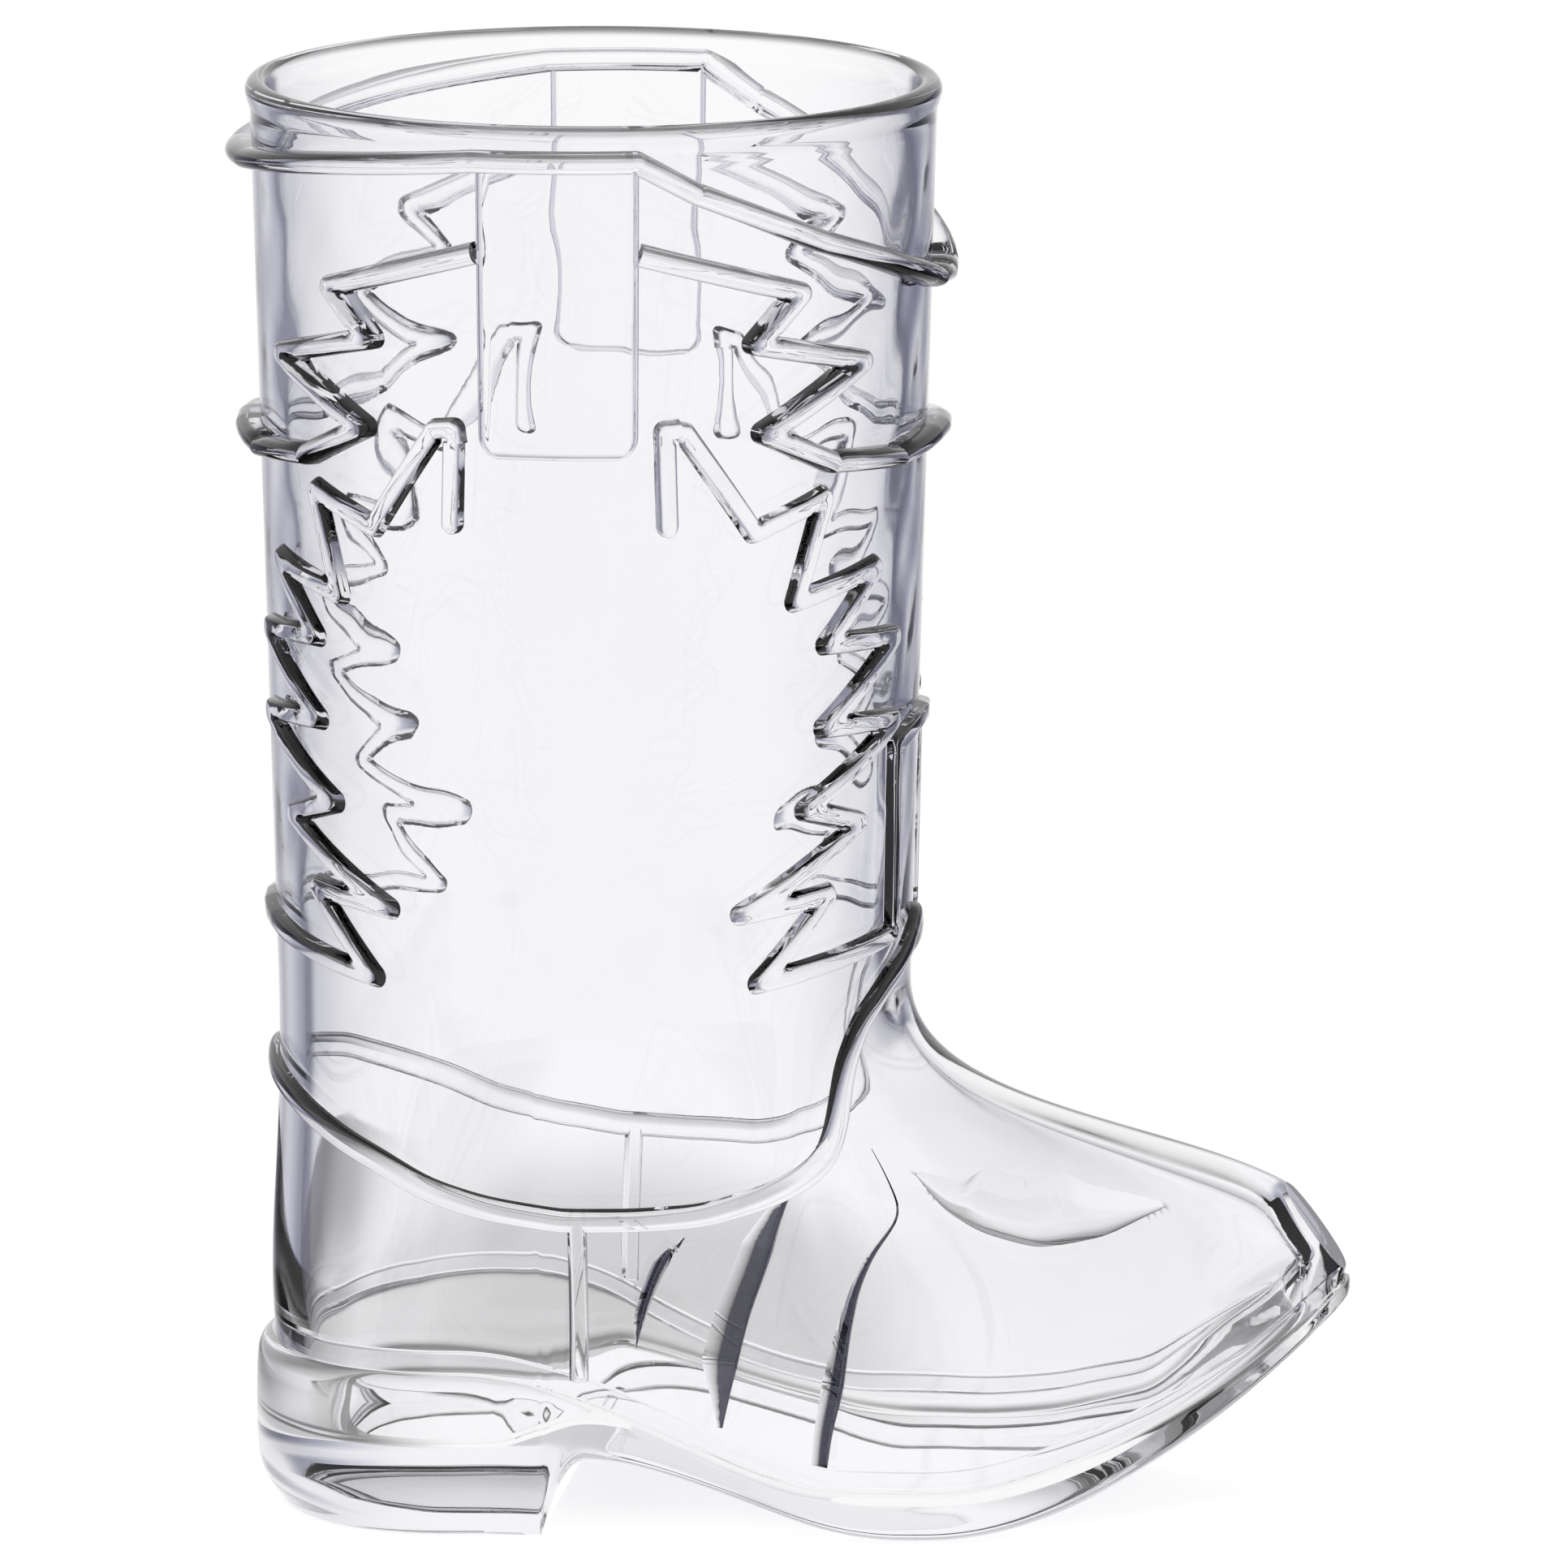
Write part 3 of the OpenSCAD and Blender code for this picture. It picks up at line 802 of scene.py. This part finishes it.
def mark_shade(me, shaded):
    """Store the painted shade of the folds on the mesh's points, which darkens the plastic's colour there."""
    tree = KDTree(len(shaded))
    for k, (place, _) in enumerate(shaded):
        tree.insert(place, k)
    tree.balance()
    near = [tree.find(v.co) for v in me.vertices]
    shades = [shaded[k][1] if far < SHADE_REACH else 0.0 for _, k, far in near]
    me.attributes.new("fold", "FLOAT", "POINT").data.foreach_set("value", shades)


# the upper: its shell, without the toe's tip and the folds, with the bars
shell = upper_shell()
bars = [
    shaft_bar("collar", front(COLLAR_TOE) + rear(COLLAR_HEEL), COLLAR_H, closed=True, shape=round_profile),
    shaft_bar("wing_toe", front(WING), WING_H, round_ends=False, shape=round_profile),
    shaft_bar("wing_heel", rear(WING), WING_H, round_ends=False, shape=round_profile),
    shaft_bar("zigzag_toe", front(ZIGZAG + ZIGZAG_TOE), ZIGZAG_H),
    shaft_bar("zigzag_heel", rear(ZIGZAG + ZIGZAG_HEEL), ZIGZAG_H),
    strap("strap_near", -90),
    strap("strap_far", 90),
    ankle_bar(),
    rib_bar(1),
    rib_bar(-1),
]
cuts, shaded = [toe_snip()], []
for line, section, share in FOLDS:
    cut, points = fold_cut("fold", shell, line, section, share)
    cuts.append(cut)
    shaded += points
sources = [soft_normals(shell, SHELL_SMOOTH)] + [soft_normals(bar, BAR_SMOOTH) for bar in bars]
body = shell.copy()
for cut in cuts:
    body = unite(body, cut.copy(), "DIFFERENCE")
    cut.flip_normals()
    sources.append(soft_normals(cut, CUT_SMOOTH))
for bar in bars:
    body = unite(body, bar.copy())
carry_normals(body, sources)
mark_shade(body, shaded)
upper = add("upper_moulding", body)
for me in [shell] + bars + cuts:
    bpy.data.meshes.remove(me)

# the sole's rings: the rounding of its floor as (inwards, up), and its edge as (share of the way down, share
# of the full swell) and then (share of the way down, share of the draw under it)
FLOOR_IN = 3.0
FLOOR_ROUND = ((1.6, .0), (.8, .22), (.25, .7), (0, 1.4))
LIP_ROUND = .25
EDGE_SWELL = ((.015, .3), (.05, .7), (.1, .92), (.18, 1), (.3, 1.03), (.45, 1.04), (.6, 1.02), (.7, .97),
              (.78, .85), (.85, .6), (.91, .2))
EDGE_DRAW = ((.94, .35), (.975, .7))
HEEL_FROM = (-BREAST - 6, -BREAST)
DRAW_FROM = (-BREAST - 4, 8 - BREAST)
# a swell and its growth with the edge's height, what the heel's back adds, and the rounding under the heel
FULL_SWELL = (.45, .03)
BACK_SWELL = (.25, .04)
BACK_CURVE = 1.5
HEEL_ROUND = (.5, .12)
UNDER_IN = .8
UNDER_HEEL_IN = .6


def sole_mesh():
    """The sole and heel tray, from its floor over the lip and the welt to its underside."""
    def moved(out, z):
        return np.column_stack([WELT + OUTWARD * out[:, None], z])

    p = HOLLOW - OUTWARD * FLOOR_IN
    rings = [np.column_stack([p, floor_z(p[:, 0])])]
    for inwards, up in FLOOR_ROUND:
        p = HOLLOW - OUTWARD * inwards
        top = welt_z(p[:, 0]) + LIP - LIP_ROUND
        rings.append(np.column_stack([p, np.minimum(floor_z(p[:, 0]) + up, top)]))
    rings.append(np.column_stack([HOLLOW, welt_z(HOLLOW[:, 0]) + LIP]))
    rings.append(inset(LEDGE + LIP_GAP, welt_z, LIP))
    rings.append(inset(LEDGE + LIP_GAP, welt_z))
    rings.append(inset(LEDGE, welt_z))
    rings.append(inset(LIP_ROUND, welt_z))
    x = WELT[:, 0]
    low = under_z(x)
    band = welt_z(x) - low
    draw = HEEL_IN + (EDGE_IN - HEEL_IN) * ease(*DRAW_FROM, x)
    heel = 1 - ease(*HEEL_FROM, x)
    # the edge swells with its height, most at the back of the heel
    back = heel * np.clip(-OUTWARD[:, 0], 0, 1) ** BACK_CURVE
    full = FULL_SWELL[0] + FULL_SWELL[1] * band + (BACK_SWELL[0] + BACK_SWELL[1] * band) * back
    for down, share in EDGE_SWELL:
        rings.append(moved(full * share, low + band * (1 - down)))
    for down, share in EDGE_DRAW:
        rings.append(moved(-draw * share, low + band * (1 - down)))
    inwards, up = HEEL_ROUND
    rings.append(inset(draw + inwards * heel, under_z, up * heel))
    rings.append(inset(draw + UNDER_IN + UNDER_HEEL_IN * heel, under_z))
    faces = tube(len(rings), COUNT, caps=False)
    half = COUNT // 2

    def strip(ring, up):
        """Faces from side to side that close the tray's floor or its underside."""
        s = ring * COUNT
        for i in range(half):
            a, b, c, d = s + i, s + i + 1, s + COUNT - i - 1, s + (COUNT - i) % COUNT
            face = (a, b, c) if i == 0 else (a, b, d) if i == half - 1 else (a, b, c, d)
            faces.append(face[::-1] if up else face)

    strip(0, False)
    strip(len(rings) - 1, True)
    me = closed_out(mesh_of("sole_moulding", np.vstack(rings), faces))
    me.polygons.foreach_set("use_smooth", [True] * len(me.polygons))
    me.set_sharp_from_angle(angle=math.radians(SOLE_SMOOTH))
    return me


sole = add("sole_moulding", sole_mesh())


class Nodes:
    """Short ways to make nodes in one tree; an input is a number, a colour or another node's output."""

    def __init__(self, tree):
        self.tree = tree
        tree.nodes.clear()

    def new(self, kind, inputs=(), **settings):
        node = self.tree.nodes.new("ShaderNode" + kind)
        for name, value in settings.items():
            setattr(node, name, value)
        for key, value in dict(inputs).items():
            if isinstance(value, bpy.types.NodeSocket):
                self.tree.links.new(value, node.inputs[key])
            else:
                node.inputs[key].default_value = value
        return node

    def math(self, way, one, two=0.0):
        return self.new("Math", {0: one, 1: two}, operation=way).outputs[0]

    def dot(self, vector, way):
        return self.new("VectorMath", {0: vector, 1: way}, operation="DOT_PRODUCT").outputs["Value"]

    def ramp(self, value, low, high, first=0.0, last=1.0, curve="SMOOTHSTEP"):
        ends = {"Value": value, "From Min": low, "From Max": high, "To Min": first, "To Max": last}
        return self.new("MapRange", ends, interpolation_type=curve).outputs["Result"]

    def noise(self, place, scale, detail):
        return self.new("TexNoise", {"Vector": place, "Scale": scale, "Detail": detail}).outputs["Fac"]

    def facing(self):
        return self.new("LayerWeight", {"Blend": .5}).outputs["Facing"]

    def tint(self, share, one, two, way="MIX"):
        return self.new("Mix", {0: share, 6: one, 7: two}, data_type="RGBA", blend_type=way).outputs[2]

    def blend(self, share, one, two):
        return self.new("MixShader", {0: share, 1: one, 2: two}).outputs[0]

    def levels(self, value, stops, colour):
        """A colour ramp with (place, level) stops, where colour makes a level's red, green and blue."""
        node = self.new("ValToRGB", {"Fac": value})
        elements = node.color_ramp.elements
        while len(elements) < len(stops):
            elements.new(.5)
        for k, (place, level) in enumerate(stops):
            elements[k].position = place
            elements[k].color = (*colour(level), 1)
        return node.outputs["Color"]

    def bent_ray(self):
        """1 for rays that the plastic has mirrored or let through."""
        path = self.new("LightPath")
        return self.math("MAXIMUM", path.outputs["Is Glossy Ray"], path.outputs["Is Transmission Ray"])


# clear plastic: polished, with faint moulding waves, fine scuffs, a cool tint in thick places, and painted
# shade edge-on and in the folds
CLOUD_SCALE = 28
CLOUD_LEVELS = ((.3, .985), (.7, 1))
EDGE_ON = (.71, .83)
FOLD_FULL = .5
SCUFF_SCALE = 420
SCUFF_FROM = (.45, .8)
SCUFF_ROUGH = (.012, .05)
WAVE_SCALE = 60
WAVE_STRENGTH = .02
WAVE_DEEP = .0006
PLASTIC_IOR = 1.5
DEPTH_TINT = (.78, .78, .86, 1)
FOLD_PAINTED_SHADE = (.008, .008, .014, 1)
SHADOW_TINT = (.94, .94, .95, 1)


def clear_plastic(name, tint, edge_painted_shade, density):
    mat = bpy.data.materials.new(name)
    mat.use_nodes = True
    nodes = Nodes(mat.node_tree)
    place = nodes.new("TexCoord").outputs["Object"]
    # cloudy variation of the tint
    cloud = nodes.noise(place, CLOUD_SCALE, 2)
    colour = nodes.levels(cloud, CLOUD_LEVELS, lambda level: [c * level for c in tint])
    # painted shade: edge-on, the plastic's colour is mixed towards the darker edge colour
    colour = nodes.tint(nodes.ramp(nodes.facing(), *EDGE_ON), colour, (*edge_painted_shade, 1))
    # painted shade: in the folds the plastic's colour goes nearly black
    fold = nodes.new("Attribute", attribute_name="fold").outputs["Fac"]
    colour = nodes.tint(nodes.ramp(fold, 0, FOLD_FULL, curve="LINEAR"), colour, FOLD_PAINTED_SHADE)
    # handling scuffs in the gloss
    scuff = nodes.noise(place, SCUFF_SCALE, 3)
    rough = nodes.ramp(scuff, *SCUFF_FROM, *SCUFF_ROUGH, curve="LINEAR")
    # slow waves left by the mould
    wave = nodes.noise(place, WAVE_SCALE, 1)
    bump = nodes.new("Bump", {"Strength": WAVE_STRENGTH, "Distance": WAVE_DEEP, "Height": wave})
    plastic = nodes.new("BsdfPrincipled", {
        "Base Color": colour, "Roughness": rough, "Normal": bump.outputs["Normal"],
        "Transmission Weight": 1, "IOR": PLASTIC_IOR, "Specular IOR Level": .5})
    # lamps reach the floor through the plastic, so it throws a light shadow
    clear = nodes.new("BsdfTransparent", {"Color": SHADOW_TINT})
    path = nodes.new("LightPath")
    skin = nodes.blend(path.outputs["Is Shadow Ray"], plastic.outputs["BSDF"], clear.outputs["BSDF"])
    depth = nodes.new("VolumeAbsorption", {"Color": DEPTH_TINT, "Density": density})
    nodes.new("OutputMaterial", {"Surface": skin, "Volume": depth.outputs["Volume"]})
    return mat


upper.data.materials.clear()
upper.data.materials.append(clear_plastic("clear_upper_plastic", (.98, .98, .988), (.12, .12, .17), 14))
sole.data.materials.clear()
sole.data.materials.append(clear_plastic("clear_sole_plastic", (.985, .985, .99), (.93, .93, .95), 5))

for piece, node, slot in ((upper, "boot_upper", "clear_upper"), (sole, "heel_sole", "clear_sole")):
    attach(piece, "root")
    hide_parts(node)

# floor in metres: directions across the view and behind the glass, and the disc
ACROSS = (.9951, .0993, 0)
BEHIND = (-.0993, .9951, 0)
DISC_R = .24
DISC_Z = -.00002
DISC_SIDES = 64
SHEET = (.3, .3, .31, 1)
SHEET_GLOW = .76
# its painted zones of light and shade as they show in the plastic: where a level starts and stops to change,
# and the level there
STEEP = (.3, .62, .22, 1)
LEFT_SIDE = (-.1, -.055, .05, 1)
RIGHT_SIDE = (.095, .145, 1, .05)
PATCH_NEAR = (.03, .05, 0, .36)
PATCH_FAR = (.12, .235, 1, 0)
PATCH_LEFT = (-.06, -.03, .3, 1)
PATCH_RIGHT = (0, .022, 1, .15)
UNDER_LEFT = (-.054, -.034, .05, 1)
UNDER_RIGHT = (.1, .16, 1, .1)
UNDER_BACK = (0, .025, 1, 0)
UNDER_SLANT = .25


def floor_painted_glow_level(nodes):
    """The floor's painted glow as it shows in the plastic: white along the view and dim straight down, a
    painted sheen.
    """
    place = nodes.new("TexCoord").outputs["Object"]
    across, behind = nodes.dot(place, ACROSS), nodes.dot(place, BEHIND)

    def both(one, two):
        return nodes.math("MULTIPLY", one, two)

    # painted dark zones beside the glass
    sides = both(nodes.ramp(across, *LEFT_SIDE), nodes.ramp(across, *RIGHT_SIDE))
    level = both(sides, nodes.ramp(nodes.facing(), *STEEP))
    # a painted pale grey patch behind the instep
    patch = both(nodes.ramp(behind, *PATCH_NEAR), nodes.ramp(behind, *PATCH_FAR))
    patch = both(patch, both(nodes.ramp(across, *PATCH_LEFT), nodes.ramp(across, *PATCH_RIGHT)))
    level = both(level, nodes.math("SUBTRACT", 1, patch))
    # painted white under the sole
    under = both(nodes.ramp(across, *UNDER_LEFT), nodes.ramp(across, *UNDER_RIGHT))
    slanted = nodes.math("ADD", behind, both(across, UNDER_SLANT))
    return nodes.math("MAXIMUM", level, both(under, nodes.ramp(slanted, *UNDER_BACK)))


def make_floor():
    turns = [2 * math.pi * k / DISC_SIDES for k in range(DISC_SIDES)]
    rim = [(DISC_R * math.cos(a), DISC_R * math.sin(a), DISC_Z) for a in turns]
    faces = [(0, 1 + k, 1 + (k + 1) % DISC_SIDES) for k in range(DISC_SIDES)]
    me = bpy.data.meshes.new("floor")
    me.from_pydata([(0, 0, DISC_Z)] + rim, [], faces)
    o = add("floor", me)
    mat = bpy.data.materials.new("floor_white_with_painted_glow")
    mat.use_nodes = True
    nodes = Nodes(mat.node_tree)
    # the sheet as the camera sees it: white, with the glass's shadow
    sheet = nodes.new("BsdfDiffuse", {"Color": SHEET})
    glow = nodes.math("MULTIPLY", nodes.new("LightPath").outputs["Is Camera Ray"], SHEET_GLOW)
    light = nodes.new("Emission", {"Strength": glow})
    white = nodes.new("AddShader", {0: sheet.outputs[0], 1: light.outputs[0]})
    # to rays mirrored or let through by the plastic, the floor is a glow with painted light and shade
    painted_glow = nodes.new("Emission", {"Strength": floor_painted_glow_level(nodes)})
    surface = nodes.blend(nodes.bent_ray(), white.outputs[0], painted_glow.outputs[0])
    nodes.new("OutputMaterial", {"Surface": surface})
    me.materials.append(mat)


make_floor()

# studio as it shows in the plastic: (degrees from straight behind the glass, level) of the walls round it, a
# white screen with dim walls to both sides and pale ones elsewhere, and (degrees above the table, level),
# white at the table's height, paler overhead and dim below
WALLS = [(-180, .85), (-110, .9), (-85, .7), (-62, .3), (-48, .26), (-37, .44), (-30, .62), (-22, .8),
         (-15, .92), (-9, .98), (-5, 1), (7, 1), (11, .97), (15, .88), (21, .68), (26, .5), (31, .34),
         (37, .22), (48, .18), (62, .34), (85, .7), (110, .9), (180, .85)]
RISE = [(-90, .08), (-60, .1), (-45, .2), (-33, .42), (-24, .72), (-17, .95), (-12, 1), (15, 1), (30, .9),
        (50, .7), (70, .6), (90, .7)]
COOL = .34
WALL_TOP = (1, 9)
WALL_OPEN = .85
ROOM_LIGHT = .9


def make_world():
    def cool_grey(level):
        warm = level * (1 - COOL * (1 - level))
        return warm, warm, level

    def grey(level):
        return level, level, level

    world = bpy.data.worlds.new("studio")
    scene.world = world
    world.use_nodes = True
    nodes = Nodes(world.node_tree)
    way = nodes.new("TexCoord").outputs["Generated"]
    turn = nodes.math("ARCTAN2", nodes.dot(way, ACROSS), nodes.dot(way, BEHIND))
    turn = nodes.math("ADD", nodes.math("DIVIDE", turn, 2 * math.pi), .5)
    walls = nodes.levels(turn, [(deg / 360 + .5, level) for deg, level in WALLS], cool_grey)
    rise = nodes.math("ARCSINE", nodes.new("SeparateXYZ", {0: way}).outputs["Z"])
    rise = nodes.math("DIVIDE", nodes.math("ADD", rise, math.pi / 2), math.pi)
    high = nodes.levels(rise, [((deg + 90) / 180, level) for deg, level in RISE], grey)
    # the dim walls end a little above the table, under a pale ceiling
    low, top = ((90 + deg) / 180 for deg in WALL_TOP)
    sides = nodes.tint(nodes.ramp(rise, low, top, 0, WALL_OPEN), walls, (1, 1, 1, 1))
    room = nodes.tint(1, sides, high, "MULTIPLY")
    plain = nodes.new("Background", {"Color": (1, 1, 1, 1), "Strength": ROOM_LIGHT})
    studio = nodes.new("Background", {"Color": room, "Strength": 1})
    white = nodes.new("Background", {"Color": (1, 1, 1, 1), "Strength": 1})
    light = nodes.blend(nodes.bent_ray(), plain.outputs[0], studio.outputs[0])
    seen = nodes.new("LightPath").outputs["Is Camera Ray"]
    nodes.new("OutputWorld", {"Surface": nodes.blend(seen, light, white.outputs[0])})


make_world()


def lamp(name, at, size, watts, aim=(0, 0, .07)):
    """A soft lamp that doesn't mirror itself in the plastic."""
    data = bpy.data.lights.new(name, "AREA")
    data.shape = "RECTANGLE"
    data.size, data.size_y = size
    data.energy = watts
    o = bpy.data.objects.new(name, data)
    scene.collection.objects.link(o)
    o.location = at
    o.rotation_mode = "QUATERNION"
    o.rotation_quaternion = (Vector(aim) - Vector(at)).to_track_quat("-Z", "Y")
    o.visible_glossy = False
    o.visible_transmission = False


lamp("key", (-.7, -.8, 1.0), (.5, .5), 6)
lamp("fill", (.9, -.5, .8), (.4, .6), 3)

# camera at the photo's angle
EYE = Vector((.2742, -2.754, .5694))
TARGET = Vector((.00041, -.01104, .07835))
cam = bpy.data.cameras.new("camera")
cam.lens = 608.87
cam.sensor_width = 36
cam.sensor_height = 36
cam.sensor_fit = "HORIZONTAL"
cam.clip_start = .1
cam.clip_end = 20
cam_obj = bpy.data.objects.new("camera", cam)
scene.collection.objects.link(cam_obj)
cam_obj.location = EYE
cam_obj.rotation_mode = "QUATERNION"
cam_obj.rotation_quaternion = (TARGET - EYE).to_track_quat("-Z", "Y")
scene.camera = cam_obj

scene.view_settings.view_transform = "Standard"
